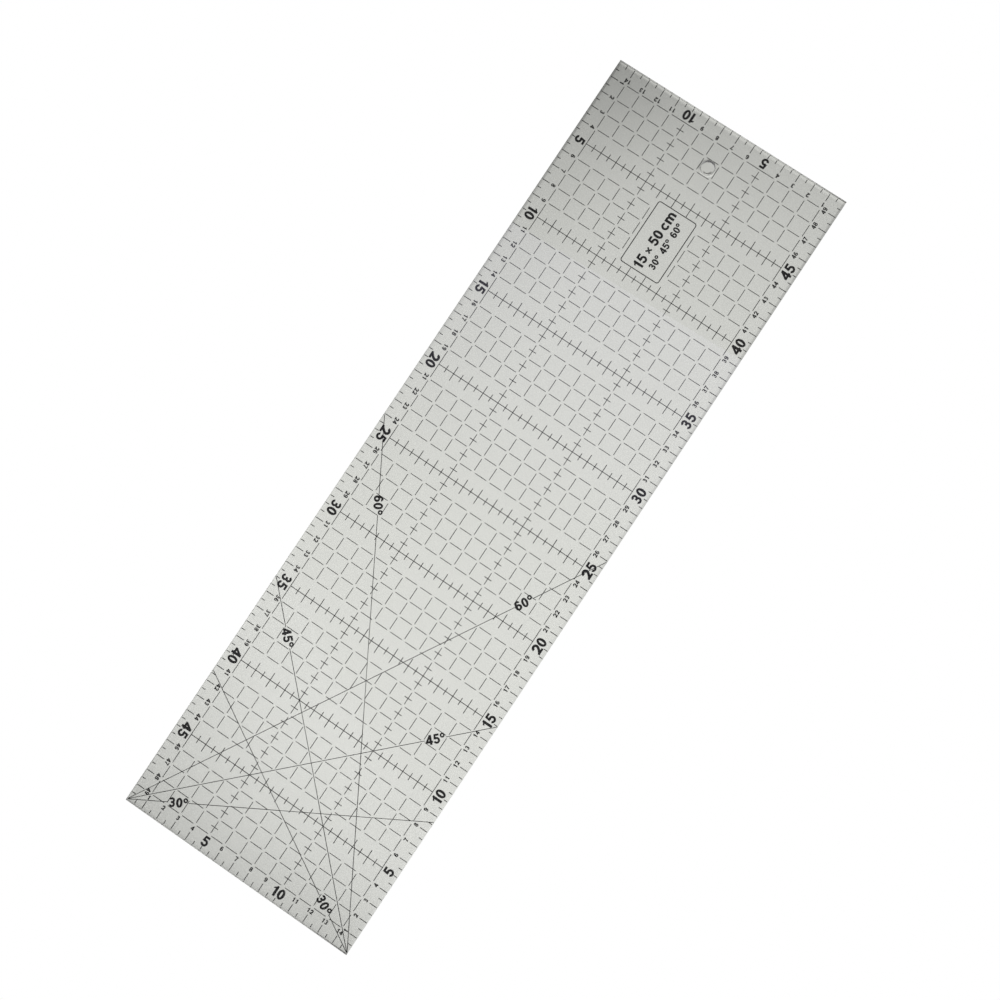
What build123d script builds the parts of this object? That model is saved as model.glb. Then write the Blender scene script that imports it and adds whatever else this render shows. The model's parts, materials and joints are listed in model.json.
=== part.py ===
from build123d import *
import math
import os

os.makedirs("parts", exist_ok=True)

# Clear acrylic quilting ruler, 15 by 50 cm, with its screen print in separate groups of ink.
# Millimetres. It lies flat, print downwards: width along X, length along Y, thickness up Z.
# The origin is the centre of the underside. The print is read from above, through the sheet.

# Sheet
sheet_width = 150.0
sheet_length = 500.0
sheet_thickness = 3.0
edge_chamfer = 0.2
hanging_hole_diameter = 8.0
hanging_hole_inset = 25.0  # hole centre to the top end
hanging_hole_chamfer = 0.2

# Ink
ink_thickness = 0.03
ink_inset = 0.1  # bare strip between the print and the chamfer
scale_line = 0.40  # line widths
grid_line = 0.36
angle_line = 0.27
frame_line = 0.50

# Scales along the four edges, each counted from a corner and read from inside the sheet
centimetre = 10.0
figured_every = 5  # centimetres between large figures, and between solid grid lines
long_tick = 5.0
short_tick = 2.5
large_figure_height = 6.1
small_figure_height = 2.6
large_figure_gap = 0.15  # end of a short tick to a large figure
small_figure_gap = 1.3  # end of a long tick to a small figure

# Grid
crossing_gap = 2.4  # bare length around each crossing of the dashed lines
centimetre_tick = 9.2  # full lengths of the ticks across the solid lines
half_centimetre_tick = 4.6

# Angle lines, drawn from both lower corners
angles = (30, 45, 60)
angle_figure_height = 5.5
angle_figure_gap = 0.3  # figures to the ends of the broken line
thirty_figure_from_corner = 29.3
forty_five_figure_from_edge = 35.3
sixty_figure_from_edge = 51.7

# Label, a framed field with the ruler's size in it
label_width = 25.0
label_length = 40.0
label_corner_radius = 1.4
label_inset = 75.0  # label centre to the top end
size_mark_height = 6.1
angle_mark_height = 4.2
size_mark_offset = -2.6  # each line of the mark, from the label's centre
angle_mark_offset = 4.7

# Drawing of the figures, as shares of their height
stem = 0.24
bar = 0.205
figure_width = 0.675
lower_case_height = 0.73
figure_pitch = 0.75
small_figure_pitch = 0.78
other_pitches = {"1": 0.55, "º": 0.55, " ": 0.26, "×": 0.66, "c": 0.72, "m": 1.08}

corner = (-sheet_width / 2, -sheet_length / 2)
print_edge = edge_chamfer + ink_inset
hole_centre = (0, sheet_length / 2 - hanging_hole_inset)
label_centre = (0, sheet_length / 2 - label_inset)


# ---- Figures, drawn one unit high and centred on X, with the foot at Y = 0 ----

def zero():
    with BuildSketch(mode=Mode.PRIVATE) as figure:
        with Locations((0, 0.5)):
            Ellipse(figure_width / 2, 0.5)
            Ellipse(figure_width / 2 - stem, 0.5 - bar, mode=Mode.SUBTRACT)
    return figure.sketch


def one():
    stem_left = -0.06
    stem_right = stem_left + stem
    with BuildSketch(mode=Mode.PRIVATE) as figure:
        with BuildLine():
            flag = ThreePointArc((0, 1), (-0.085, 0.87), (-0.235, 0.80))
            Polyline(
                flag @ 1, (-0.235, 0.625), (stem_left, 0.725), (stem_left, 0),
                (stem_right, 0), (stem_right, 1), flag @ 0,
            )
        make_face()
    return figure.sketch


def two():
    crown_radius = 0.235
    with BuildSketch(mode=Mode.PRIVATE) as figure:
        with BuildLine():
            crown = CenterArc((0, 1 - stem / 2 - crown_radius), crown_radius, 175, -205)
            TangentArc(crown @ 1, (-0.2, bar / 2), tangent=crown % 1)
        trace(line_width=stem)
        Rectangle(figure_width, bar, align=(Align.CENTER, Align.MIN))
        with Locations((0, 0)):
            Rectangle(1, 1, align=(Align.CENTER, Align.MAX), mode=Mode.SUBTRACT)
    return figure.sketch


def three():
    upper_radius = 0.19
    lower_radius = (1 - bar) / 2 - upper_radius
    with BuildSketch(mode=Mode.PRIVATE) as figure:
        with BuildLine():
            CenterArc((-0.01, 1 - bar / 2 - upper_radius), upper_radius, 165, -255)
        trace(line_width=bar)
        with BuildLine():
            CenterArc((-0.01, bar / 2 + lower_radius), lower_radius, 90, -255)
        trace(line_width=bar)
        with Locations((-0.06, bar / 2 + 2 * lower_radius)):
            Rectangle(0.12, bar)
    return figure.sketch


def four():
    bar_height = 0.29
    with BuildSketch(mode=Mode.PRIVATE) as figure:
        with Locations((0.15, 0.5)):
            Rectangle(stem, 1)
        with Locations((0, bar_height)):
            Rectangle(0.72, bar)
        with BuildLine():
            Polyline(
                (-0.36, bar_height - bar / 2), (-0.36, 0.36), (0.065, 1), (0.245, 1),
                (0.245, 0.95), (0.15, 0.78), (-0.16, bar_height), close=True,
            )
        make_face()
    return figure.sketch


def five():
    bowl_stroke = bar + 0.005
    bowl_radius = 0.235
    with BuildSketch(mode=Mode.PRIVATE) as figure:
        with Locations((0.04, 1 - bar / 2)):
            Rectangle(0.50, bar)
        with BuildLine():
            Polyline((-0.21, 1), (-0.285, 0.46), (-0.08, 0.50), (-0.03, 0.9), close=True)
        make_face()
        with BuildLine():
            CenterArc((0, bowl_stroke / 2 + bowl_radius), bowl_radius, 140, -305)
        trace(line_width=bowl_stroke)
    return figure.sketch


def six():
    bowl = 0.325
    with BuildSketch(mode=Mode.PRIVATE) as figure:
        add(zero())
        with Locations((0, 0.30)):
            Rectangle(figure_width, 0.45, align=(Align.MIN, Align.MIN), mode=Mode.SUBTRACT)
        with Locations((0, bowl)):
            Ellipse(figure_width / 2, bowl)
            Ellipse(figure_width / 2 - stem, bowl + 0.01 - bar, mode=Mode.SUBTRACT)
    return figure.sketch


def seven():
    heel = (-0.175, 0)
    bar_end = 0.88
    with BuildSketch(mode=Mode.PRIVATE) as figure:
        with BuildLine():
            back = ThreePointArc(heel, (-0.08, 0.44), (0.10, 1 - bar))
            front = ThreePointArc((figure_width / 2, bar_end), (0.135, 0.47), (0.055, 0))
            Polyline(
                back @ 1, (-figure_width / 2, 1 - bar), (-figure_width / 2, 1),
                (figure_width / 2, 1), front @ 0,
            )
            Line(front @ 1, heel)
        make_face()
    return figure.sketch


def eight():
    upper_width = figure_width / 2 - 0.03
    upper = 0.27
    lower = 0.30
    wall = bar - 0.02
    with BuildSketch(mode=Mode.PRIVATE) as figure:
        with Locations((0, lower)):
            Ellipse(figure_width / 2, lower)
        with Locations((0, 1 - upper)):
            Ellipse(upper_width, upper)
            Ellipse(upper_width - stem + 0.01, upper - wall, mode=Mode.SUBTRACT)
        with Locations((0, lower)):
            Ellipse(figure_width / 2 - stem, lower - wall, mode=Mode.SUBTRACT)
    return figure.sketch


def nine():
    with BuildSketch(mode=Mode.PRIVATE) as figure:
        with Locations(Location((0, 1, 0), (0, 0, 180))):
            add(six())
    return figure.sketch


def degree():
    outer = 0.25
    wall = 0.16
    with BuildSketch(mode=Mode.PRIVATE) as figure:
        with Locations((0, 1 - outer)):
            Circle(outer)
            Circle(outer - wall, mode=Mode.SUBTRACT)
    return figure.sketch


def times():
    with BuildSketch(mode=Mode.PRIVATE) as figure:
        for turn in (45, -45):
            with Locations(Location((0, 0.40, 0), (0, 0, turn))):
                Rectangle(0.62, 0.15)
    return figure.sketch


def letter_c():
    bowl = lower_case_height / 2
    with BuildSketch(mode=Mode.PRIVATE) as letter:
        with BuildLine():
            CenterArc((0, bowl), bowl - bar / 2, 42, 276)
        trace(line_width=bar)
    return letter.sketch


def letter_m():
    stem_spacing = 0.40
    arch_radius = stem_spacing / 2
    arch_width = bar
    shoulder = lower_case_height - arch_width / 2 - arch_radius
    with BuildSketch(mode=Mode.PRIVATE) as letter:
        for side in (-1, 0, 1):
            with Locations((side * stem_spacing, 0)):
                Rectangle(stem, shoulder, align=(Align.CENTER, Align.MIN))
        with Locations((-stem_spacing, 0)):
            Rectangle(stem, lower_case_height, align=(Align.CENTER, Align.MIN))
        for side in (-1, 1):
            with BuildLine():
                CenterArc((side * stem_spacing / 2, shoulder), arch_radius, 0, 180)
            trace(line_width=arch_width)
    return letter.sketch


characters = {
    "0": zero(), "1": one(), "2": two(), "3": three(), "4": four(), "5": five(), "6": six(),
    "7": seven(), "8": eight(), "9": nine(), "º": degree(), "×": times(), "c": letter_c(),
    "m": letter_m(),
}
pitches = {character: figure_pitch for character in characters} | other_pitches
small_pitches = {figure: small_figure_pitch for figure in "0123456789"}


def text_length(text, height):
    return height * sum(pitches[character] for character in text)


def lettering(text, height, pitches=pitches):
    """The characters of a text, reading along +X, centred on the origin both ways."""
    with BuildSketch(mode=Mode.PRIVATE) as words:
        reached = -sum(pitches[character] for character in text) / 2
        for character in text:
            if character in characters:
                with Locations((reached + pitches[character] / 2, -0.5)):
                    add(characters[character])
            reached += pitches[character]
        scale(by=height)
    return words.sketch


# ---- Layout ----

def whole_centimetres(length):
    """Centimetre marks on a length, short of the last one by at least a centimetre's margin."""
    return range(1, int((length - centimetre) / centimetre + 0.001) + 1)


def is_figured(count):
    return count % figured_every == 0


def clear_of_label(x, y, width, length):
    """Whether a rectangle, placed from the lower left corner, keeps off the label's frame."""
    reach_x = (label_width + frame_line + width) / 2
    reach_y = (label_length + frame_line + length) / 2
    off_x = abs(x + corner[0] - label_centre[0]) > reach_x
    off_y = abs(y + corner[1] - label_centre[1]) > reach_y
    return off_x or off_y


def rectangles(places, width, length):
    """Equal rectangles at the places that the label leaves free."""
    free = [(x, y) for x, y in places if clear_of_label(x, y, width, length)]
    if free:
        with Locations(corner):
            with Locations(*free):
                Rectangle(width, length)


columns = whole_centimetres(sheet_width)
rows = whole_centimetres(sheet_length)
solid_rows = [row for row in rows[1:-1] if is_figured(row)]
solid_columns = [column for column in columns[1:-1] if is_figured(column)]
dash = centimetre - crossing_gap

# Each scale starts at a corner, runs anticlockwise along its edge and has the sheet on its left.
half_width = sheet_width / 2
half_length = sheet_length / 2
scales = {
    "bottom": (Location((-half_width, -half_length, 0), (0, 0, 0)), sheet_width),
    "right": (Location((half_width, -half_length, 0), (0, 0, 90)), sheet_length),
    "top": (Location((half_width, half_length, 0), (0, 0, 180)), sheet_width),
    "left": (Location((-half_width, half_length, 0), (0, 0, -90)), sheet_length),
}


def print_ink(artwork, name):
    """One group of printed marks, as a film under the sheet."""
    with BuildPart() as film:
        add(artwork)
        extrude(amount=ink_thickness)
    film.part.label = name
    export_step(film.part, f"parts/{name}.step")


# ---- Sheet ----

with BuildPart() as acrylic_sheet:
    with BuildSketch(Plane.XY.offset(ink_thickness)):
        Rectangle(sheet_width, sheet_length)
        with Locations(hole_centre):
            Circle(hanging_hole_diameter / 2, mode=Mode.SUBTRACT)
    extrude(amount=sheet_thickness)
    flat_faces = acrylic_sheet.faces().filter_by(Axis.Z)
    outline = flat_faces.edges().filter_by(GeomType.LINE)
    hole_rims = flat_faces.edges().filter_by(GeomType.CIRCLE)
    chamfer(outline, edge_chamfer)
    chamfer(hole_rims, hanging_hole_chamfer)
acrylic_sheet.part.label = "acrylic_sheet"
export_step(acrylic_sheet.part, "parts/acrylic_sheet.step")


# ---- Figures on the scales ----

def large_figure(count):
    inset = short_tick + large_figure_gap + large_figure_height / 2
    return Pos(count * centimetre, inset) * lettering(str(count), large_figure_height)


def small_figure(count):
    inset = long_tick + small_figure_gap + small_figure_height / 2
    figure = lettering(str(count), small_figure_height, small_pitches)
    return Pos(count * centimetre, inset) * figure


def scale_figures(length, figure, large):
    """The large or the small figures of a scale, laid out along +X from its corner."""
    placed = [figure(count) for count in whole_centimetres(length) if is_figured(count) == large]
    with BuildSketch(mode=Mode.PRIVATE) as figures:
        add(placed)
    return figures.sketch


scale_lengths = (sheet_width, sheet_length)
small_figures = {length: scale_figures(length, small_figure, False) for length in scale_lengths}
large_figures = {length: scale_figures(length, large_figure, True) for length in scale_lengths}
edge_figures = []
for edge, (start, length) in scales.items():
    for size, figures in (("small", small_figures), ("large", large_figures)):
        with BuildSketch() as placed_figures:
            with Locations(start):
                add(figures[length])
        edge_figures.append(placed_figures.sketch)
        print_ink(placed_figures.sketch, f"{edge}_edge_{size}_figures")


# ---- Angle lines and their figures ----

line_lengths = {
    angle: min(
        sheet_width / math.cos(math.radians(angle)),
        sheet_length / math.sin(math.radians(angle)),
    )
    for angle in angles
}
figure_distances = {
    30: thirty_figure_from_corner,
    45: line_lengths[45] - forty_five_figure_from_edge,
    60: line_lengths[60] - sixty_figure_from_edge,
}


def ray(side, angle):
    """A place with its X along an angle line from the left (1) or the right (-1) lower corner."""
    direction = angle if side > 0 else 180 - angle
    return Location((-side * half_width, -half_length, 0), (0, 0, direction))


def upright(side, angle):
    """A place on an angle line where its figures stand, reading left to right."""
    distance = figure_distances[angle]
    radians = math.radians(angle)
    x = side * (distance * math.cos(radians) - half_width)
    y = distance * math.sin(radians) - half_length
    return Location((x, y, 0), (0, 0, side * angle))


with BuildSketch() as angle_figures:
    for angle in angles:
        for side in (1, -1):
            with Locations(upright(side, angle)):
                add(lettering(f"{angle}º", angle_figure_height))
print_ink(angle_figures.sketch, "angle_figures")

line_names = {30: "thirty_degree_lines", 45: "forty_five_degree_lines", 60: "sixty_degree_lines"}
angle_lines = []
for angle in angles:
    break_length = text_length(f"{angle}º", angle_figure_height) + 2 * angle_figure_gap
    with BuildSketch() as lines:
        for side in (1, -1):
            with Locations(ray(side, angle)):
                Rectangle(line_lengths[angle], angle_line, align=(Align.MIN, Align.CENTER))
        for side in (1, -1):
            with Locations(upright(side, angle)):
                Rectangle(break_length, 2 * angle_line, mode=Mode.SUBTRACT)
        Rectangle(
            sheet_width - 2 * print_edge, sheet_length - 2 * print_edge, mode=Mode.INTERSECT
        )
        add(edge_figures + angle_lines, mode=Mode.SUBTRACT)
    angle_lines.append(lines.sketch)
    print_ink(lines.sketch, line_names[angle])


# ---- Ticks on the scales ----

half_centimetre = centimetre / 2
for edge, (start, length) in scales.items():
    marks = range(1, math.ceil(length / half_centimetre - 0.001))
    long_marks = [mark for mark in marks if mark % 2 == 0 and not is_figured(mark // 2)]
    short_marks = [mark for mark in marks if mark not in long_marks]
    with BuildSketch() as ticks:
        for tick, tick_marks in ((long_tick, long_marks), (short_tick, short_marks)):
            with Locations(start):
                with Locations(*[(mark * half_centimetre, print_edge) for mark in tick_marks]):
                    Rectangle(scale_line, tick - print_edge, align=(Align.CENTER, Align.MIN))
        add(angle_lines, mode=Mode.SUBTRACT)
    print_ink(ticks.sketch, f"{edge}_edge_ticks")


# ---- Grid ----

with BuildSketch() as cut_from_grid:
    add(angle_lines + [angle_figures.sketch])
    with Locations(hole_centre):
        Circle(hanging_hole_diameter / 2 + hanging_hole_chamfer + ink_inset)

with BuildSketch() as crosswise_dashes:
    rectangles(
        [
            ((column + 0.5) * centimetre, row * centimetre)
            for row in rows if row not in solid_rows
            for column in columns[:-1]
        ],
        dash, grid_line,
    )
    rectangles(
        [
            (column * centimetre, rows[-1] * centimetre)
            for column in solid_columns
        ],
        centimetre, grid_line,
    )
    add(cut_from_grid.sketch, mode=Mode.SUBTRACT)
print_ink(crosswise_dashes.sketch, "crosswise_dashes")

with BuildSketch() as five_centimetre_cross_lines:
    for row in solid_rows:
        field_width = (columns[-1] - columns[0]) * centimetre
        middle = (columns[0] + columns[-1]) / 2 * centimetre
        rectangles([(middle, row * centimetre)], field_width + grid_line, scale_line)
    rectangles(
        [
            (column * centimetre, row * centimetre)
            for row in solid_rows
            for column in columns[1:-1] if column not in solid_columns
        ],
        scale_line, centimetre_tick,
    )
    rectangles(
        [
            ((column + 0.5) * centimetre, row * centimetre)
            for row in solid_rows
            for column in columns[:-1]
        ],
        scale_line, half_centimetre_tick,
    )
    add(cut_from_grid.sketch, mode=Mode.SUBTRACT)
print_ink(five_centimetre_cross_lines.sketch, "five_centimetre_cross_lines")


def lengthwise_lines(dashed_columns, through):
    """Dashes up the given columns; through the solid rows they run on, or they stop short."""
    rectangles(
        [
            (column * centimetre, (row + 0.5) * centimetre)
            for column in dashed_columns
            for row in rows[:-1]
            if through or not (row in solid_rows or row + 1 in solid_rows)
        ],
        grid_line, dash,
    )
    if through:
        rectangles(
            [(column * centimetre, row * centimetre)
             for column in dashed_columns for row in solid_rows],
            grid_line, centimetre,
        )


outer_columns = (columns[0], columns[-1])
with BuildSketch() as lengthwise_dashes:
    inner_columns = columns[1:-1]
    lengthwise_lines([column for column in inner_columns if column not in solid_columns], False)
    add(cut_from_grid.sketch, mode=Mode.SUBTRACT)
print_ink(lengthwise_dashes.sketch, "lengthwise_dashes")

with BuildSketch() as margin_lines:
    lengthwise_lines(outer_columns, True)
    add([cut_from_grid.sketch, five_centimetre_cross_lines.sketch], mode=Mode.SUBTRACT)
print_ink(margin_lines.sketch, "margin_lines")

with BuildSketch() as five_centimetre_long_lines:
    lengthwise_lines(solid_columns, True)
    rectangles(
        [
            (column * centimetre, (row + 0.5) * centimetre)
            for column in solid_columns
            for row in rows[:-1]
        ],
        half_centimetre_tick, scale_line,
    )
    add([cut_from_grid.sketch, five_centimetre_cross_lines.sketch], mode=Mode.SUBTRACT)
print_ink(five_centimetre_long_lines.sketch, "five_centimetre_long_lines")


# ---- Label ----

with BuildSketch() as label_frame:
    with Locations(label_centre):
        RectangleRounded(
            label_width + frame_line, label_length + frame_line,
            label_corner_radius + frame_line / 2,
        )
        RectangleRounded(
            label_width - frame_line, label_length - frame_line,
            label_corner_radius - frame_line / 2, mode=Mode.SUBTRACT,
        )
print_ink(label_frame.sketch, "label_frame")

size_text = f"{sheet_width / centimetre:.0f} × {sheet_length / centimetre:.0f} cm"
angle_text = "  ".join(f"{angle}º" for angle in angles)
with BuildSketch() as size_mark:
    for text, height, shift in (
        (size_text, size_mark_height, size_mark_offset),
        (angle_text, angle_mark_height, angle_mark_offset),
    ):
        with Locations(Location((label_centre[0] + shift, label_centre[1], 0), (0, 0, 90))):
            add(lettering(text, height))
print_ink(size_mark.sketch, "size_mark")
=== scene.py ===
"""A clear acrylic quilting ruler with its screen print, lying on a pale table."""

import json
import math

import bmesh
import bpy
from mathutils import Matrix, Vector


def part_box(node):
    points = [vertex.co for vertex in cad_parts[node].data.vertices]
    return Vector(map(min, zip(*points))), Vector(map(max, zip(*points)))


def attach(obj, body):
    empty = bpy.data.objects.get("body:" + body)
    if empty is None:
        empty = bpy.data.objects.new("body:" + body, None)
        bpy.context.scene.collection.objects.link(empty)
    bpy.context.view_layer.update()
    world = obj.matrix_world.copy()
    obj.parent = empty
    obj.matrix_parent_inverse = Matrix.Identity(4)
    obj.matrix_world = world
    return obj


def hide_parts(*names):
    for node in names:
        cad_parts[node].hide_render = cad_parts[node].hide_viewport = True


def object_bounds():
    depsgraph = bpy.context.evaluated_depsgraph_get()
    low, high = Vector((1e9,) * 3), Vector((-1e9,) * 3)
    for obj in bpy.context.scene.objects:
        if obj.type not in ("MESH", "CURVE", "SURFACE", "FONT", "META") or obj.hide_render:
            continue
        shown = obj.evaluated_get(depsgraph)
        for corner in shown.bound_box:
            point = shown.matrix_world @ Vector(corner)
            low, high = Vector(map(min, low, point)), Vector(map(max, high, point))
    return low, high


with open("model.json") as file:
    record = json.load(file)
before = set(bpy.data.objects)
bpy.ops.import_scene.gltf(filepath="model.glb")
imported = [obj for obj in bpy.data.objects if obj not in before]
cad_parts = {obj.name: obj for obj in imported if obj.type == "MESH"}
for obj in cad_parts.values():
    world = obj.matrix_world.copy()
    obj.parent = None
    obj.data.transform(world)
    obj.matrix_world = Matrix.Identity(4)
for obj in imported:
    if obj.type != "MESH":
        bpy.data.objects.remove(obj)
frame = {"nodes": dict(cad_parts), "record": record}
cad_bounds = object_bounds()

MM = 0.001
CM = 0.01

# The ruler as the frame holds it
sheet_low, sheet_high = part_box("acrylic_sheet")
ink_low, ink_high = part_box("size_mark")
frame_low, frame_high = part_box("label_frame")
SHEET_WIDTH = sheet_high.x - sheet_low.x
SHEET_LENGTH = sheet_high.y - sheet_low.y
INK_THICKNESS = ink_high.z - ink_low.z
hanging_hole = next(m for m in frame["record"]["mounts"] if m["name"] == "hanging_hole")
HOLE_CENTRE = Vector(hanging_hole["pos_m"][:2])
HANGING_HOLE_RADIUS = hanging_hole["dims"]["r_mm"] * MM

# Sheet
EDGE_ROUNDING = 0.2 * MM
EDGE_STEPS = 4
HOLE_SEGMENTS = 96
FLAT_FACE = 0.999  # a face whose normal is this upright is one of the sheet's two flat faces
INK_BEDDING = 0.006 * MM  # how far the print is sunk into the sheet's underside

# Clear acrylic
SHEET_TINT = (0.994, 0.995, 0.992, 1)
SHEET_IOR = 1.49
SAWN_ROUGHNESS = 0.22
FACE_HAZE = 0.02
FACE_PASSES = (0.998, 0.998, 0.998, 1)  # lamplight let through the faces
OUTER_WALL_PASSES = (0.15, 0.15, 0.15, 1)  # and through a cut wall, entering
INNER_WALL_PASSES = (0.85, 0.85, 0.85, 1)  # and leaving
STEEP_WALL = 0.7  # below this upward share of the normal, a surface counts as wall

# Screen ink
INK_DARK = (0.010, 0.010, 0.011, 1)
INK_PALE = (0.022, 0.021, 0.021, 1)
INK_GLOSSIEST = 0.35
INK_DULLEST = 0.55

# The spread of a noise's values that matters
NOISE_LOW = 0.3
NOISE_HIGH = 0.7

# Scales
LONG_TICK = 5.0 * MM
SHORT_TICK = 2.5 * MM
TICK_WIDTH = 0.40 * MM
PRINT_EDGE = 0.3 * MM
FIGURED_EVERY = 5

# Angle lines, and how much wider they are drawn than their solids are
ANGLE_LINES = {
    "thirty_degree_lines": 30, "forty_five_degree_lines": 45, "sixty_degree_lines": 60}
ANGLE_LINE_SPREAD = 1.3

# Grid
GRID_LINE = 0.36 * MM
CROSSING_GAP = 2.4 * MM
NEAR_SOLID_ROW = 0.9  # dashes this near a solid line across, in centimetres, are left out
NEAR_SOLID_COLUMN = 0.1

# Camera, looking down on the ruler from a little right of its middle; turned in degrees
CAMERA_PLACE = (0.0388, -0.0012, 0.5590)
CAMERA_TURN = (2.4081, 2.4077, 33.7221)
CAMERA_LENS = 36.0
CAMERA_SENSOR = 36.0

# Table, room and lamps: powers in watts, the cone in degrees
TABLE_REACH = 4.0
TABLE_GAP = 0.1 * MM
TABLE_COLOUR = (0.736, 0.742, 0.706)
TABLE_ROUGHNESS = 0.9
ROOM_LIGHT = 0.15
KEY_PLACE = (0.103, 0.019, 0.557)
KEY_AIM = (0.103, 0.019, 0.0)
KEY_POWER = 9.3
KEY_CONE = 70.3
KEY_BLEND = 0.69
SIDE_PLACE = (-0.153, -0.368, 0.30)
SIDE_AIM = (0.0, -0.05, 0.0)
SIDE_POWER = 0.60
LAMP_RADIUS = 0.03

# A card above the ruler that glows more towards its far edge, which is slanted
CARD_HEIGHT = 1.118
CARD_LEFT = -0.45
CARD_RIGHT = 0.30
CARD_NEAR = -0.03
CARD_FAR = 0.4284
CARD_SLANT = 0.012
CARD_COLOUR = (0.66, 0.63, 0.86, 1)
CARD_GLOW = 1.5

# Painted light and shade on the table, standing in for light bent by the sheet's edges: how far
# inside an edge a painted band starts, and how far inside it is full
LEFT_BAND = (1.5 * MM, 0.7 * MM)
RIGHT_BAND = (1.7 * MM, 0.8 * MM)
TOP_BAND = (1.9 * MM, 1.0 * MM)
TOP_RIM = (1.1 * MM, 0.6 * MM)
# Where the changes ease in, along the ruler or across it
UP_LEFT = (-0.10, 0.30)
UP_RIGHT = (-0.30, 0.30)
TO_LEFT = (0.03, -0.05)
LEFT_SIDE_START = -0.02
LOWER_END_START = -0.215
# What each adds to the table's brightness: painted light where above 0, painted shade where below;
# the last two are broad painted shade towards the upper left side and the lower end
LEFT_CHANGE = 0.10
UP_LEFT_CHANGE = -0.42
RIGHT_CHANGE = 0.08
UP_RIGHT_CHANGE = -0.36
TOP_CHANGE = 0.22
TOP_RIM_CHANGE = 0.24
LEFT_SIDE_CHANGE = -0.09
LOWER_END_CHANGE = -0.05
# Painted arcs about the hole, two of painted shadow and one of painted light: the direction in
# degrees, inner and outer radius, the width of the full middle, and the change
PAINTED_HOLE_ARCS = (
    (160, 3.5 * MM, 5.4 * MM, 0.8 * MM, -0.35),
    (-60, 1.9 * MM, 3.5 * MM, 0.7 * MM, -0.62),
    (-62, 3.8 * MM, 5.3 * MM, 0.6 * MM, 0.30),
)
ARC_ENDS = (0.25, 0.9)  # cosines from an arc's direction at which it fades in and is full


# ---------------------------------------------------------------- helpers

def new_object(name, mesh, material):
    """A mesh in the shared frame, with one material."""
    piece = bpy.data.objects.new(name, mesh)
    bpy.context.scene.collection.objects.link(piece)
    mesh.materials.append(material)
    return piece


def node(tree, kind, place=(0, 0), **settings):
    made = tree.nodes.new(kind)
    made.location = place
    for name, value in settings.items():
        setattr(made, name, value)
    return made


def link(tree, source, target):
    tree.links.new(source, target)


def combined(tree, operation, first, second, place):
    """A math node on two sockets, or on a socket and a number."""
    made = node(tree, "ShaderNodeMath", place, operation=operation)
    for value, target in ((first, made.inputs[0]), (second, made.inputs[1])):
        if isinstance(value, (int, float)):
            target.default_value = value
        else:
            link(tree, value, target)
    return made.outputs[0]


# ---------------------------------------------------------------- materials

def mottle_group():
    """Slow cloudiness and fine grain, for any surface of the ruler."""
    group = bpy.data.node_groups.new("surface_mottle", "ShaderNodeTree")
    for name, default in (("Cloud Size", 0.05), ("Grain Size", 0.0006)):
        socket = group.interface.new_socket(name, in_out="INPUT", socket_type="NodeSocketFloat")
        socket.default_value = default
    for name in ("Cloud", "Grain"):
        group.interface.new_socket(name, in_out="OUTPUT", socket_type="NodeSocketFloat")
    inputs = node(group, "NodeGroupInput", (-800, 0))
    outputs = node(group, "NodeGroupOutput", (600, 0))
    coordinates = node(group, "ShaderNodeTexCoord", (-800, 300))

    def noise(size_name, detail, place):
        scale = node(group, "ShaderNodeMath", (place[0] - 200, place[1]), operation="DIVIDE")
        scale.inputs[0].default_value = 1.0
        link(group, inputs.outputs[size_name], scale.inputs[1])
        texture = node(group, "ShaderNodeTexNoise", place)
        texture.inputs["Detail"].default_value = detail
        link(group, coordinates.outputs["Object"], texture.inputs["Vector"])
        link(group, scale.outputs[0], texture.inputs["Scale"])
        return texture.outputs["Fac"]

    link(group, noise("Cloud Size", 3.0, (-300, 200)), outputs.inputs["Cloud"])
    link(group, noise("Grain Size", 1.0, (-300, -100)), outputs.inputs["Grain"])
    return group


def place_group(tree, group, place, **values):
    placed = node(tree, "ShaderNodeGroup", place, node_tree=group)
    for name, value in values.items():
        placed.inputs[name.replace("_", " ")].default_value = value
    return placed


def ranged(tree, source, low, high, place, start=NOISE_LOW, end=NOISE_HIGH):
    """A value over the surface between start and end, spread between low and high."""
    spread = node(tree, "ShaderNodeMapRange", place)
    spread.inputs["From Min"].default_value = start
    spread.inputs["From Max"].default_value = end
    spread.inputs["To Min"].default_value = low
    spread.inputs["To Max"].default_value = high
    link(tree, source, spread.inputs["Value"])
    return spread.outputs["Result"]


def clear_acrylic(mottle):
    """Clear sheet, polished on its faces and satin on its sawn edges."""
    material = bpy.data.materials.new("clear_acrylic")
    material.use_nodes = True
    tree = material.node_tree
    shader = tree.nodes["Principled BSDF"]
    shader.inputs["Base Color"].default_value = SHEET_TINT
    shader.inputs["Transmission Weight"].default_value = 1.0
    shader.inputs["IOR"].default_value = SHEET_IOR
    marks = place_group(tree, mottle, (-700, 0), Cloud_Size=0.06)
    coordinates = node(tree, "ShaderNodeTexCoord", (-900, -300))
    parts = node(tree, "ShaderNodeSeparateXYZ", (-700, -300))
    link(tree, coordinates.outputs["Normal"], parts.inputs[0])
    facing = combined(tree, "ABSOLUTE", parts.outputs["Z"], 0.0, (-500, -300))
    polish = ranged(tree, facing, SAWN_ROUGHNESS, 0.0, (-300, -300), start=0.2, end=0.9)
    haze = ranged(tree, marks.outputs["Cloud"], 0.0, FACE_HAZE, (-300, 0))
    roughness = combined(tree, "ADD", polish, haze, (-100, -100))
    link(tree, roughness, shader.inputs["Roughness"])
    let_lamps_through(tree, shader)
    return material


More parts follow.
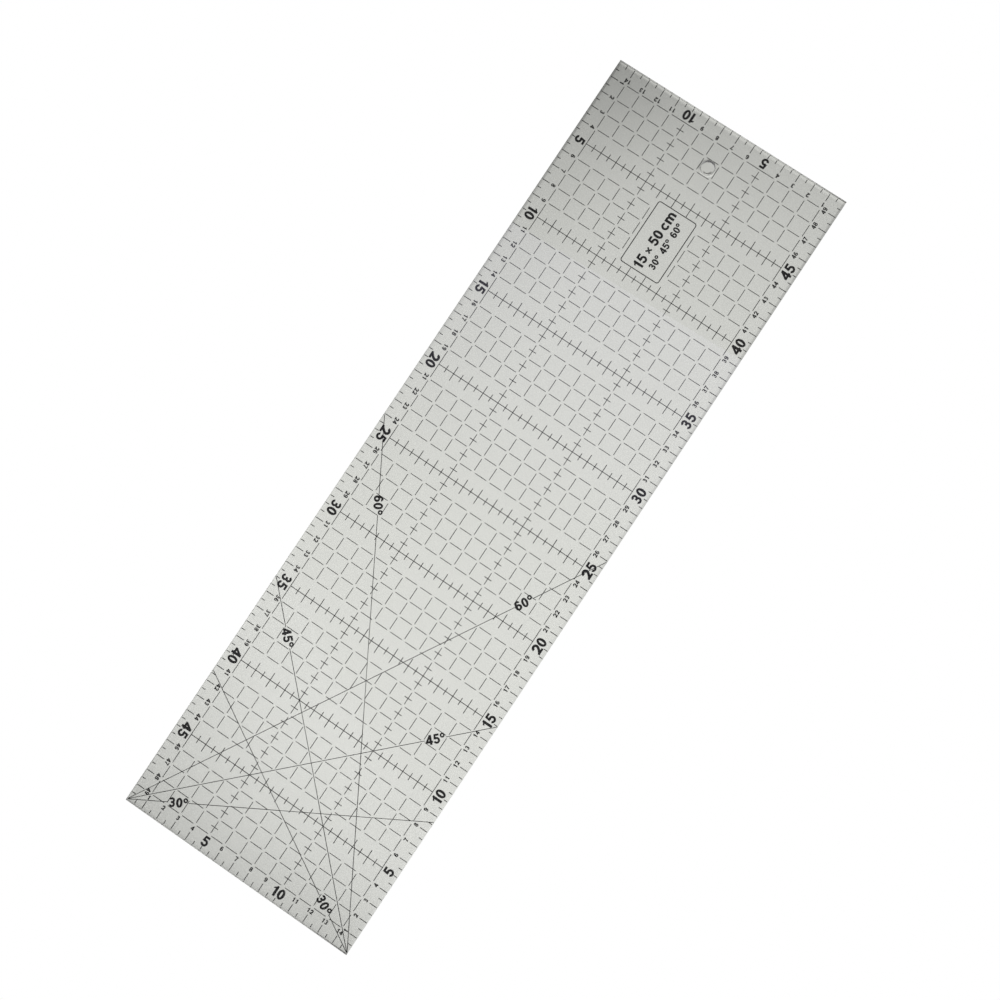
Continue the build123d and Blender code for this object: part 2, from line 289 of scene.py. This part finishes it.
def let_lamps_through(tree, shader):
    """Lamplight passes the sheet and lights the table below it."""
    path = node(tree, "ShaderNodeLightPath", (300, 400))
    geometry = node(tree, "ShaderNodeNewGeometry", (-900, -600))
    steepness = node(tree, "ShaderNodeSeparateXYZ", (-700, -600))
    link(tree, geometry.outputs["True Normal"], steepness.inputs[0])
    level = combined(tree, "ABSOLUTE", steepness.outputs["Z"], 0.0, (-500, -600))
    on_face = combined(tree, "GREATER_THAN", level, STEEP_WALL, (-300, -600))
    through_wall = node(tree, "ShaderNodeMix", (-100, -700), data_type="RGBA")
    through_wall.inputs["A"].default_value = OUTER_WALL_PASSES
    through_wall.inputs["B"].default_value = INNER_WALL_PASSES
    link(tree, geometry.outputs["Backfacing"], through_wall.inputs["Factor"])
    passed = node(tree, "ShaderNodeMix", (100, -500), data_type="RGBA")
    passed.inputs["B"].default_value = FACE_PASSES
    link(tree, on_face, passed.inputs["Factor"])
    link(tree, through_wall.outputs["Result"], passed.inputs["A"])
    clear = node(tree, "ShaderNodeBsdfTransparent", (300, -300))
    link(tree, passed.outputs["Result"], clear.inputs["Color"])
    mixed = node(tree, "ShaderNodeMixShader", (600, 100))
    link(tree, path.outputs["Is Shadow Ray"], mixed.inputs["Fac"])
    link(tree, shader.outputs[0], mixed.inputs[1])
    link(tree, clear.outputs[0], mixed.inputs[2])
    link(tree, mixed.outputs[0], tree.nodes["Material Output"].inputs["Surface"])


def printed_ink(mottle):
    """Opaque black screen ink with a faint unevenness."""
    material = bpy.data.materials.new("printed_ink")
    material.use_nodes = True
    tree = material.node_tree
    shader = tree.nodes["Principled BSDF"]
    marks = place_group(tree, mottle, (-700, 0), Cloud_Size=0.02, Grain_Size=0.0002)
    blacks = node(tree, "ShaderNodeMix", (-300, 100), data_type="RGBA")
    blacks.inputs["A"].default_value = INK_DARK
    blacks.inputs["B"].default_value = INK_PALE
    link(tree, marks.outputs["Cloud"], blacks.inputs["Factor"])
    link(tree, blacks.outputs["Result"], shader.inputs["Base Color"])
    roughness = ranged(
        tree, marks.outputs["Grain"], INK_GLOSSIEST, INK_DULLEST, (-300, -100))
    link(tree, roughness, shader.inputs["Roughness"])
    return material


# ---------------------------------------------------------------- sheet

def rounded_levels():
    """Insets and heights of the rings that run round the sheet's edge, from below upward."""
    low = sheet_low.z - INK_BEDDING
    high = sheet_high.z
    turns = [math.radians(90 * step / EDGE_STEPS) for step in range(EDGE_STEPS + 1)]
    lower = [
        (EDGE_ROUNDING * (1 - math.sin(turn)), low + EDGE_ROUNDING * (1 - math.cos(turn)))
        for turn in turns
    ]
    upper = [(inset, low + high - height) for inset, height in reversed(lower)]
    return lower + upper


def sheet_mesh():
    """The sheet as one closed shell: its rounded rim, the bore and the two flat faces."""
    sheet = bmesh.new()
    centre = HOLE_CENTRE
    levels = rounded_levels()
    rims = []
    bores = []
    for inset, height in levels:
        west, south = sheet_low.x + inset, sheet_low.y + inset
        east, north = sheet_high.x - inset, sheet_high.y - inset
        corners = [(west, south), (east, south), (east, north), (west, north)]
        rims.append([sheet.verts.new((x, y, height)) for x, y in corners])
        radius = HANGING_HOLE_RADIUS + inset
        bores.append([
            sheet.verts.new((
                centre.x + radius * math.cos(math.tau * step / HOLE_SEGMENTS),
                centre.y + radius * math.sin(math.tau * step / HOLE_SEGMENTS), height))
            for step in range(HOLE_SEGMENTS)
        ])
    for rings in (rims, bores):
        for below, above in zip(rings, rings[1:]):
            count = len(below)
            for step in range(count):
                after = (step + 1) % count
                sheet.faces.new((below[step], below[after], above[after], above[step]))
    for rim, bore in ((rims[0], bores[0]), (rims[-1], bores[-1])):
        edges = [
            sheet.edges.get((ring[step], ring[(step + 1) % len(ring)]))
            for ring in (rim, bore) for step in range(len(ring))
        ]
        bmesh.ops.triangle_fill(sheet, use_beauty=True, use_dissolve=False, edges=edges)
    bmesh.ops.recalc_face_normals(sheet, faces=sheet.faces)
    mesh = bpy.data.meshes.new("clear_sheet")
    sheet.to_mesh(mesh)
    sheet.free()
    for face in mesh.polygons:
        face.use_smooth = abs(face.normal.z) < FLAT_FACE
    return mesh


# ---------------------------------------------------------------- printed marks that repeat

def socket_inputs(tree, *rows):
    """Named inputs for a geometry tree, each with its kind."""
    for name, kind in rows:
        tree.interface.new_socket(name, in_out="INPUT", socket_type="NodeSocket" + kind)
    tree.interface.new_socket("Geometry", in_out="OUTPUT", socket_type="NodeSocketGeometry")


def vector_of(tree, x, y, z, place):
    made = node(tree, "ShaderNodeCombineXYZ", place)
    for value, target in zip((x, y, z), made.inputs):
        if isinstance(value, (int, float)):
            target.default_value = value
        else:
            link(tree, value, target)
    return made.outputs[0]


def bars_on(tree, points, size, place):
    """A flat bar on each point, standing on it and centred on its X, as real geometry."""
    bar = node(tree, "GeometryNodeMeshCube", (place[0] - 400, place[1] - 200))
    stood = node(tree, "GeometryNodeTransform", (place[0] - 200, place[1] - 200))
    stood.inputs["Translation"].default_value = (0, 0, 0.5)
    link(tree, bar.outputs["Mesh"], stood.inputs["Geometry"])
    placed = node(tree, "GeometryNodeInstanceOnPoints", place)
    link(tree, points, placed.inputs["Points"])
    link(tree, stood.outputs[0], placed.inputs["Instance"])
    link(tree, size, placed.inputs["Scale"])
    real = node(tree, "GeometryNodeRealizeInstances", (place[0] + 200, place[1]))
    link(tree, placed.outputs[0], real.inputs[0])
    return real.outputs[0]


def finish_tree(tree, geometry, inputs, place):
    inked = node(tree, "GeometryNodeSetMaterial", place)
    link(tree, geometry, inked.inputs["Geometry"])
    link(tree, inputs.outputs["Ink"], inked.inputs["Material"])
    outputs = node(tree, "NodeGroupOutput", (place[0] + 200, place[1]))
    link(tree, inked.outputs[0], outputs.inputs[0])


def tick_tree():
    """The ticks of one scale, one each half centimetre.

    They are long at the centimetres that have no large figure.
    """
    tree = bpy.data.node_groups.new("scale_ticks", "GeometryNodeTree")
    socket_inputs(
        tree, ("Length", "Float"), ("Centimetre", "Float"), ("Long Tick", "Float"),
        ("Short Tick", "Float"), ("Print Edge", "Float"), ("Line Width", "Float"),
        ("Thickness", "Float"), ("Figured Every", "Int"), ("Corner", "Vector"),
        ("Turn", "Rotation"), ("Ink", "Material"))
    inputs = node(tree, "NodeGroupInput", (-1400, 0))
    given = inputs.outputs
    half = combined(tree, "MULTIPLY", given["Centimetre"], 0.5, (-1200, 200))
    halves = combined(tree, "DIVIDE", given["Length"], half, (-1000, 300))
    marks = combined(tree, "SUBTRACT", combined(tree, "ROUND", halves, 0.0, (-900, 400)), 1.0,
                     (-800, 300))
    line = node(tree, "GeometryNodeMeshLine", (-500, 300), mode="OFFSET")
    link(tree, marks, line.inputs["Count"])
    link(tree, vector_of(tree, half, 0.0, 0.0, (-700, 100)), line.inputs["Offset"])
    link(tree, vector_of(tree, half, given["Print Edge"], 0.0, (-700, -50)),
         line.inputs["Start Location"])

    index = node(tree, "GeometryNodeInputIndex", (-1200, -300))
    mark = combined(tree, "ADD", index.outputs[0], 1.0, (-1000, -300))
    odd = combined(tree, "MODULO", mark, 2.0, (-800, -200))
    double = combined(tree, "MULTIPLY", given["Figured Every"], 2.0, (-1000, -450))
    past_figure = combined(tree, "MODULO", mark, double, (-800, -400))
    on_centimetre = combined(tree, "LESS_THAN", odd, 0.5, (-600, -200))
    no_figure = combined(tree, "GREATER_THAN", past_figure, 0.5, (-600, -400))
    is_long = combined(tree, "MULTIPLY", on_centimetre, no_figure, (-400, -300))
    longer = combined(tree, "SUBTRACT", given["Long Tick"], given["Short Tick"], (-600, -600))
    extra = combined(tree, "MULTIPLY", is_long, longer, (-200, -300))
    reach = combined(tree, "ADD", given["Short Tick"], extra, (0, -300))
    tick = combined(tree, "SUBTRACT", reach, given["Print Edge"], (200, -300))
    centre_line = node(tree, "GeometryNodeSetPosition", (400, 300))
    link(tree, line.outputs[0], centre_line.inputs["Geometry"])
    half_tick = combined(tree, "MULTIPLY", tick, 0.5, (200, -100))
    link(tree, vector_of(tree, 0.0, half_tick, 0.0, (300, 0)), centre_line.inputs["Offset"])
    size = vector_of(tree, given["Line Width"], tick, given["Thickness"], (400, -300))
    bars = bars_on(tree, centre_line.outputs[0], size, (700, 200))
    turned = node(tree, "GeometryNodeTransform", (1100, 200))
    link(tree, bars, turned.inputs["Geometry"])
    link(tree, given["Corner"], turned.inputs["Translation"])
    link(tree, given["Turn"], turned.inputs["Rotation"])
    finish_tree(tree, turned.outputs[0], inputs, (1300, 200))
    return tree


def distance_to_step(tree, value, step, place):
    """How far a value is from the nearest multiple of a step."""
    steps = combined(tree, "DIVIDE", value, step, place)
    nearest = combined(tree, "ROUND", steps, 0.0, (place[0] + 150, place[1]))
    reached = combined(tree, "MULTIPLY", nearest, step, (place[0] + 300, place[1]))
    off = combined(tree, "SUBTRACT", value, reached, (place[0] + 450, place[1]))
    return combined(tree, "ABSOLUTE", off, 0.0, (place[0] + 600, place[1]))


def dash_tree():
    """Bars on a rectangular pattern, left out near the solid lines and the label."""
    tree = bpy.data.node_groups.new("grid_dashes", "GeometryNodeTree")
    socket_inputs(
        tree, ("First", "Vector"), ("Columns", "Int"), ("Rows", "Int"), ("Column Step", "Float"),
        ("Row Step", "Float"), ("Bar", "Vector"), ("Origin", "Vector"), ("Solid Step", "Float"),
        ("Clear of Columns", "Float"), ("Clear of Rows", "Float"), ("Label Centre", "Vector"),
        ("Label Reach", "Vector"), ("Ink", "Material"))
    inputs = node(tree, "NodeGroupInput", (-1400, 0))
    given = inputs.outputs
    row = node(tree, "GeometryNodeMeshLine", (-1000, 400), mode="OFFSET")
    link(tree, given["Columns"], row.inputs["Count"])
    link(tree, vector_of(tree, given["Column Step"], 0.0, 0.0, (-1200, 300)), row.inputs["Offset"])
    link(tree, given["First"], row.inputs["Start Location"])
    column = node(tree, "GeometryNodeMeshLine", (-1000, 100), mode="OFFSET")
    link(tree, given["Rows"], column.inputs["Count"])
    link(tree, vector_of(tree, 0.0, given["Row Step"], 0.0, (-1200, 100)), column.inputs["Offset"])
    repeated = node(tree, "GeometryNodeInstanceOnPoints", (-800, 300))
    link(tree, column.outputs[0], repeated.inputs["Points"])
    link(tree, row.outputs[0], repeated.inputs["Instance"])
    points = node(tree, "GeometryNodeRealizeInstances", (-600, 300))
    link(tree, repeated.outputs[0], points.inputs[0])

    position = node(tree, "GeometryNodeInputPosition", (-1200, -300))
    from_origin = node(tree, "ShaderNodeVectorMath", (-1000, -300), operation="SUBTRACT")
    link(tree, position.outputs[0], from_origin.inputs[0])
    link(tree, given["Origin"], from_origin.inputs[1])
    parts = node(tree, "ShaderNodeSeparateXYZ", (-800, -300))
    link(tree, from_origin.outputs[0], parts.inputs[0])
    off_column = distance_to_step(tree, parts.outputs["X"], given["Solid Step"], (-600, -200))
    off_row = distance_to_step(tree, parts.outputs["Y"], given["Solid Step"], (-600, -400))
    on_column = combined(tree, "LESS_THAN", off_column, given["Clear of Columns"], (200, -200))
    on_row = combined(tree, "LESS_THAN", off_row, given["Clear of Rows"], (200, -400))
    on_solid = combined(tree, "MAXIMUM", on_column, on_row, (400, -300))

    from_label = node(tree, "ShaderNodeVectorMath", (-1000, -700), operation="SUBTRACT")
    link(tree, position.outputs[0], from_label.inputs[0])
    link(tree, given["Label Centre"], from_label.inputs[1])
    sides = node(tree, "ShaderNodeVectorMath", (-800, -700), operation="ABSOLUTE")
    link(tree, from_label.outputs[0], sides.inputs[0])
    within = node(tree, "ShaderNodeVectorMath", (-600, -700), operation="SUBTRACT")
    link(tree, given["Label Reach"], within.inputs[0])
    link(tree, sides.outputs[0], within.inputs[1])
    depths = node(tree, "ShaderNodeSeparateXYZ", (-400, -700))
    link(tree, within.outputs[0], depths.inputs[0])
    depth = combined(tree, "MINIMUM", depths.outputs["X"], depths.outputs["Y"], (-200, -700))
    on_label = combined(tree, "GREATER_THAN", depth, 0.0, (0, -700))
    left_out = combined(tree, "MAXIMUM", on_solid, on_label, (600, -400))
    kept = node(tree, "GeometryNodeDeleteGeometry", (800, 200))
    link(tree, points.outputs[0], kept.inputs["Geometry"])
    link(tree, left_out, kept.inputs["Selection"])
    bars = bars_on(tree, kept.outputs[0], given["Bar"], (1200, 200))
    finish_tree(tree, bars, inputs, (1600, 200))
    return tree


def evaluated_mesh(tree, **values):
    """A tree's result as a plain mesh, with its named inputs set by their identifiers."""
    holder = bpy.data.objects.new("holder", bpy.data.meshes.new("holder"))
    bpy.context.scene.collection.objects.link(holder)
    modifier = holder.modifiers.new("marks", "NODES")
    modifier.node_group = tree
    named = {item.name: item.identifier for item in tree.interface.items_tree
             if item.in_out == "INPUT"}
    for name, value in values.items():
        modifier[named[name.replace("_", " ")]] = value
    holder.update_tag()
    bpy.context.view_layer.update()
    evaluated = holder.evaluated_get(bpy.context.evaluated_depsgraph_get())
    mesh = bpy.data.meshes.new_from_object(evaluated)
    bpy.data.objects.remove(holder)
    return mesh


def ink_piece(name, meshes, ink, *nodes):
    """One printed piece from one or more meshes, in place of its CAD nodes."""
    joined = bmesh.new()
    for mesh in meshes:
        joined.from_mesh(mesh)
    for face in joined.faces:
        face.material_index = 0
    mesh = bpy.data.meshes.new(name)
    joined.to_mesh(mesh)
    joined.free()
    piece = new_object(name, mesh, ink)
    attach(piece, "root")
    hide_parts(*nodes)
    return piece


def print_ticks(ink):
    tree = tick_tree()
    scales = {
        "bottom": ((sheet_low.x, sheet_low.y), 0, SHEET_WIDTH),
        "right": ((sheet_high.x, sheet_low.y), 90, SHEET_LENGTH),
        "top": ((sheet_high.x, sheet_high.y), 180, SHEET_WIDTH),
        "left": ((sheet_low.x, sheet_high.y), 270, SHEET_LENGTH),
    }
    for edge, (corner, turn, length) in scales.items():
        mesh = evaluated_mesh(
            tree, Length=length, Centimetre=CM, Long_Tick=LONG_TICK, Short_Tick=SHORT_TICK,
            Print_Edge=PRINT_EDGE, Line_Width=TICK_WIDTH, Thickness=INK_THICKNESS,
            Figured_Every=FIGURED_EVERY, Corner=(*corner, ink_low.z),
            Turn=(0.0, 0.0, math.radians(turn)), Ink=ink)
        ink_piece(f"{edge}_scale_ticks", [mesh], ink, f"{edge}_edge_ticks")


def print_angle_lines(ink):
    """The angle lines, each a little wider about its own middle than its solid is."""
    corners = (Vector((sheet_low.x, sheet_low.y)), Vector((sheet_high.x, sheet_low.y)))
    for name, angle in ANGLE_LINES.items():
        rise = math.radians(angle)
        across = (Vector((-math.sin(rise), math.cos(rise))),
                  Vector((math.sin(rise), math.cos(rise))))
        mesh = frame["nodes"][name].data.copy()
        for vertex in mesh.vertices:
            place = vertex.co.xy
            off, normal = min(
                ((normal.dot(place - corner), normal)
                 for corner, normal in zip(corners, across)),
                key=lambda found: abs(found[0]))
            vertex.co.xy = place + normal * off * (ANGLE_LINE_SPREAD - 1)
        ink_piece(f"{name}_print", [mesh], ink, name)


def print_dashes(ink):
    tree = dash_tree()
    corner = Vector((sheet_low.x, sheet_low.y, ink_low.z))
    columns = round(SHEET_WIDTH / CM) - 1
    rows = round(SHEET_LENGTH / CM) - 1
    dash = CM - CROSSING_GAP
    solid_step = FIGURED_EVERY * CM
    label_centre = (frame_low + frame_high) / 2
    label_half = (frame_high - frame_low) / 2

    def pattern(first, count, step, bar, clear_columns=0.0, clear_rows=0.0):
        """Bars at centimetre places counted from the lower left corner."""
        reach = label_half + Vector((*bar, 0.0)) / 2
        return evaluated_mesh(
            tree, First=corner + Vector((*first, 0.0)) * CM, Columns=count[0], Rows=count[1],
            Column_Step=step[0] * CM, Row_Step=step[1] * CM, Bar=(*bar, INK_THICKNESS),
            Origin=corner, Solid_Step=solid_step, Clear_of_Columns=clear_columns * CM,
            Clear_of_Rows=clear_rows * CM, Label_Centre=label_centre, Label_Reach=reach, Ink=ink)

    every = FIGURED_EVERY
    solid_columns = (columns - 1) // every
    solid_rows = (rows - 1) // every
    crosswise = pattern((1.5, 1), (columns - 1, rows), (1, 1), (dash, GRID_LINE),
                        clear_rows=NEAR_SOLID_ROW)
    top_bridges = pattern((every, rows), (solid_columns, 1), (every, 1), (CM, GRID_LINE))
    ink_piece("crosswise_grid_dashes", [crosswise, top_bridges], ink, "crosswise_dashes")
    lengthwise = pattern(
        (2, 1.5), (columns - 2, rows - 1), (1, 1), (GRID_LINE, dash),
        clear_columns=NEAR_SOLID_COLUMN, clear_rows=NEAR_SOLID_ROW)
    ink_piece("lengthwise_grid_dashes", [lengthwise], ink, "lengthwise_dashes")
    sides = pattern((1, 1.5), (2, rows - 1), (columns - 1, 1), (GRID_LINE, dash))
    side_bridges = pattern((1, every), (2, solid_rows), (columns - 1, every), (GRID_LINE, CM))
    ink_piece("margin_grid_lines", [sides, side_bridges], ink, "margin_lines")


# ---------------------------------------------------------------- stage, light and camera

def share_within(tree, low, high, place):
    """1 on the part of the table between two corners, 0 outside it."""
    coordinates = node(tree, "ShaderNodeTexCoord", (place[0] - 200, place[1]))
    centred = node(tree, "ShaderNodeVectorMath", place, operation="SUBTRACT")
    centred.inputs[1].default_value = (low + high) / 2
    link(tree, coordinates.outputs["Object"], centred.inputs[0])
    sides = node(tree, "ShaderNodeVectorMath", (place[0] + 200, place[1]), operation="ABSOLUTE")
    link(tree, centred.outputs[0], sides.inputs[0])
    parts = node(tree, "ShaderNodeSeparateXYZ", (place[0] + 400, place[1]))
    link(tree, sides.outputs[0], parts.inputs[0])
    inside = []
    for axis, reach in (("X", (high.x - low.x) / 2), ("Y", (high.y - low.y) / 2)):
        test = node(tree, "ShaderNodeMath", (place[0] + 600, place[1]), operation="LESS_THAN")
        test.inputs[1].default_value = reach
        link(tree, parts.outputs[axis], test.inputs[0])
        inside.append(test.outputs[0])
    return combined(tree, "MULTIPLY", *inside, (place[0] + 800, place[1]))


def share_of_white(tree):
    """Where the table is plain white: to the camera beside the ruler, and in mirrors."""
    path = node(tree, "ShaderNodeLightPath", (-1500, 400))
    under_ruler = share_within(tree, sheet_low, sheet_high, (-1500, 0))
    beside = combined(tree, "SUBTRACT", 1.0, under_ruler, (-500, 100))
    seen = combined(
        tree, "MAXIMUM", path.outputs["Is Camera Ray"], path.outputs["Is Transmission Ray"],
        (-500, 300))
    direct = combined(tree, "MULTIPLY", seen, beside, (-300, 300))
    not_through = combined(tree, "SUBTRACT", 1.0, path.outputs["Is Transmission Ray"], (-500, 500))
    mirrored = combined(
        tree, "MULTIPLY", path.outputs["Is Glossy Ray"], not_through, (-300, 500))
    return combined(tree, "MAXIMUM", direct, mirrored, (-100, 400))


def smooth_share(tree, value, start, end, place):
    """0 up to a start and 1 from an end on, eased between; or falling, when the end is lower."""
    eased = node(tree, "ShaderNodeMapRange", place, interpolation_type="SMOOTHSTEP")
    rising = end > start
    eased.inputs["From Min"].default_value = min(start, end)
    eased.inputs["From Max"].default_value = max(start, end)
    eased.inputs["To Min"].default_value = 0.0 if rising else 1.0
    eased.inputs["To Max"].default_value = 1.0 if rising else 0.0
    link(tree, value, eased.inputs["Value"])
    return eased.outputs["Result"]


def painted_light_and_shade(tree):
    """Painted light and shade in the table's colour, for light the sheet's edges and bore bend,
    and broader shade.
    """
    coordinates = node(tree, "ShaderNodeTexCoord", (-3400, -600))
    parts = node(tree, "ShaderNodeSeparateXYZ", (-3200, -600))
    link(tree, coordinates.outputs["Object"], parts.inputs[0])
    x, y = parts.outputs["X"], parts.outputs["Y"]

    def product(*shares):
        result = shares[0]
        for step, share in enumerate(shares[1:]):
            result = combined(tree, "MULTIPLY", result, share, (-1700 + 150 * step, -900))
        return result

    def inside(value, edge, inward, band, place):
        """1 close inside an edge, 0 from the start of its band on."""
        start, full = (edge + inward * depth for depth in band)
        return smooth_share(tree, value, start, full, place)

    left = inside(x, sheet_low.x, 1, LEFT_BAND, (-2900, -300))
    right = inside(x, sheet_high.x, -1, RIGHT_BAND, (-2900, -500))
    top = inside(y, sheet_high.y, -1, TOP_BAND, (-2900, -700))
    rim = inside(y, sheet_high.y, -1, TOP_RIM, (-2900, -800))
    to_left = smooth_share(tree, x, *TO_LEFT, (-2900, -1000))
    up_left = smooth_share(tree, y, *UP_LEFT, (-2900, -900))
    up_right = smooth_share(tree, y, *UP_RIGHT, (-2900, -1100))
    left_side = smooth_share(tree, x, LEFT_SIDE_START, sheet_low.x, (-2900, -100))
    lower_end = smooth_share(tree, y, LOWER_END_START, sheet_low.y, (-2900, 100))
    # painted light along the long edges with painted shade over their upper parts, painted light
    # along the top end, and broad painted shade towards the upper left and the lower end
    changes = [
        product(left, LEFT_CHANGE), product(left, up_left, UP_LEFT_CHANGE),
        product(right, RIGHT_CHANGE), product(right, up_right, UP_RIGHT_CHANGE),
        product(top, TOP_CHANGE), product(rim, to_left, TOP_RIM_CHANGE),
        product(left_side, up_left, LEFT_SIDE_CHANGE), product(lower_end, LOWER_END_CHANGE),
    ]

    from_hole = node(tree, "ShaderNodeVectorMath", (-2900, -1400), operation="SUBTRACT")
    from_hole.inputs[1].default_value = (*HOLE_CENTRE, 0.0)
    link(tree, coordinates.outputs["Object"], from_hole.inputs[0])
    radial = node(tree, "ShaderNodeVectorMath", (-2700, -1400), operation="MULTIPLY")
    radial.inputs[1].default_value = (1.0, 1.0, 0.0)
    link(tree, from_hole.outputs[0], radial.inputs[0])
    radius = node(tree, "ShaderNodeVectorMath", (-2500, -1300), operation="LENGTH")
    link(tree, radial.outputs[0], radius.inputs[0])
    outward = node(tree, "ShaderNodeVectorMath", (-2500, -1500), operation="NORMALIZE")
    link(tree, radial.outputs[0], outward.inputs[0])

    def arc(toward, inner, outer, middle_width):
        """1 along an arc about the hole, in the middle of a ring and round a direction."""
        away = math.radians(toward)
        facing = node(tree, "ShaderNodeVectorMath", (-2300, -1500), operation="DOT_PRODUCT")
        facing.inputs[1].default_value = (math.cos(away), math.sin(away), 0.0)
        link(tree, outward.outputs[0], facing.inputs[0])
        along = smooth_share(tree, facing.outputs["Value"], *ARC_ENDS, (-2100, -1500))
        ease = (outer - inner - middle_width) / 2
        rise = smooth_share(tree, radius.outputs["Value"], inner, inner + ease, (-2100, -1300))
        fall = smooth_share(tree, radius.outputs["Value"], outer, outer - ease, (-2100, -1700))
        return product(along, rise, fall)

    # painted shadow and painted light in arcs about the bore, added to the table's colour
    for *ring, change in PAINTED_HOLE_ARCS:
        changes.append(product(arc(*ring), change))
    total = 1.0
    for step, change in enumerate(changes):
        total = combined(tree, "ADD", total, change, (-1000 + 150 * step, -900))
    return total


def flat_sheet(name, corners, height, material):
    """A level four-cornered surface of the stage."""
    mesh = bpy.data.meshes.new(name)
    mesh.from_pydata([(x, y, height) for x, y in corners], [], [(0, 1, 2, 3)])
    return new_object(name, mesh, material)


def white_table():
    """The table, with painted light and shade in its colour where the ruler's edges and bore bend
    the light.
    """
    material = bpy.data.materials.new("pale_table")
    material.use_nodes = True
    tree = material.node_tree
    shader = tree.nodes["Principled BSDF"]
    table_colour = node(tree, "ShaderNodeVectorMath", (-200, -200), operation="SCALE")
    table_colour.inputs[0].default_value = TABLE_COLOUR
    # the table's colour times painted light and shade
    link(tree, painted_light_and_shade(tree), table_colour.inputs["Scale"])
    link(tree, table_colour.outputs[0], shader.inputs["Base Color"])
    shader.inputs["Roughness"].default_value = TABLE_ROUGHNESS
    shader.inputs["Specular IOR Level"].default_value = 0.0
    white = node(tree, "ShaderNodeEmission", (0, 300))
    white.inputs["Strength"].default_value = 1.0
    mixed = node(tree, "ShaderNodeMixShader", (300, 200))
    link(tree, share_of_white(tree), mixed.inputs["Fac"])
    link(tree, shader.outputs[0], mixed.inputs[1])
    link(tree, white.outputs[0], mixed.inputs[2])
    link(tree, mixed.outputs[0], tree.nodes["Material Output"].inputs["Surface"])
    reach = TABLE_REACH
    height = cad_bounds[0].z - TABLE_GAP
    table = flat_sheet(
        "table", [(-reach, -reach), (reach, -reach), (reach, reach), (-reach, reach)],
        height, material)


def surroundings():
    """White to the camera, and dim to everything else."""
    world = bpy.data.worlds.new("studio")
    bpy.context.scene.world = world
    world.use_nodes = True
    tree = world.node_tree
    background = tree.nodes["Background"]
    path = node(tree, "ShaderNodeLightPath", (-700, 200))
    strength = node(tree, "ShaderNodeMapRange", (-300, 100))
    strength.inputs["To Min"].default_value = ROOM_LIGHT
    strength.inputs["To Max"].default_value = 1.0
    link(tree, path.outputs["Is Camera Ray"], strength.inputs["Value"])
    link(tree, strength.outputs["Result"], background.inputs["Strength"])
    background.inputs["Color"].default_value = (1, 1, 1, 1)


def soft_lamp(name, kind, place, aim, power):
    """A lamp over the table that the polished sheet doesn't mirror."""
    lamp = bpy.data.lights.new(name, kind)
    lamp.energy = power
    if kind == "AREA":
        lamp.shape = "DISK"
        lamp.size = 2 * LAMP_RADIUS
    else:
        lamp.shadow_soft_size = LAMP_RADIUS
    holder = bpy.data.objects.new(name, lamp)
    bpy.context.scene.collection.objects.link(holder)
    holder.visible_glossy = False
    holder.visible_transmission = False
    holder.location = place
    holder.rotation_euler = (Vector(aim) - Vector(place)).to_track_quat("-Z", "Y").to_euler()
    return lamp


def pale_card():
    """A faint card high above, seen only in the upper face: its far edge draws a line there."""
    material = bpy.data.materials.new("pale_card")
    material.use_nodes = True
    tree = material.node_tree
    tree.nodes.remove(tree.nodes["Principled BSDF"])
    coordinates = node(tree, "ShaderNodeTexCoord", (-700, 0))
    parts = node(tree, "ShaderNodeSeparateXYZ", (-500, 0))
    link(tree, coordinates.outputs["Object"], parts.inputs[0])
    glow = node(tree, "ShaderNodeEmission", (0, 0))
    glow.inputs["Color"].default_value = CARD_COLOUR
    strength = ranged(
        tree, parts.outputs["Y"], 0.0, CARD_GLOW, (-200, 0), start=CARD_NEAR, end=CARD_FAR)
    link(tree, strength, glow.inputs["Strength"])
    link(tree, glow.outputs[0], tree.nodes["Material Output"].inputs["Surface"])
    card = flat_sheet(
        "pale_card",
        [(CARD_LEFT, CARD_NEAR), (CARD_RIGHT, CARD_NEAR),
         (CARD_RIGHT, CARD_FAR + CARD_SLANT), (CARD_LEFT, CARD_FAR - CARD_SLANT)],
        CARD_HEIGHT, material)
    card.visible_camera = False
    card.visible_diffuse = False
    card.visible_transmission = False
    card.visible_volume_scatter = False
    card.visible_shadow = False


def camera_over_ruler():
    lens = bpy.data.cameras.new("camera")
    lens.lens = CAMERA_LENS
    lens.sensor_width = CAMERA_SENSOR
    camera = bpy.data.objects.new("camera", lens)
    bpy.context.scene.collection.objects.link(camera)
    camera.location = CAMERA_PLACE
    camera.rotation_euler = [math.radians(turn) for turn in CAMERA_TURN]
    bpy.context.scene.camera = camera


# ---------------------------------------------------------------- assembly

bpy.context.scene.view_settings.view_transform = "Standard"
mottle = mottle_group()
acrylic = clear_acrylic(mottle)
ink = printed_ink(mottle)

for name, cad_node in frame["nodes"].items():
    if name != "acrylic_sheet":
        cad_node.data.materials.clear()
        cad_node.data.materials.append(ink)

sheet = new_object("clear_sheet", sheet_mesh(), acrylic)
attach(sheet, "root")
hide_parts("acrylic_sheet")

print_ticks(ink)
print_angle_lines(ink)
print_dashes(ink)

white_table()
surroundings()
pale_card()
key = soft_lamp("key_lamp", "SPOT", KEY_PLACE, KEY_AIM, KEY_POWER)
key.spot_size = math.radians(KEY_CONE)
key.spot_blend = KEY_BLEND
soft_lamp("side_lamp", "AREA", SIDE_PLACE, SIDE_AIM, SIDE_POWER)
camera_over_ruler()
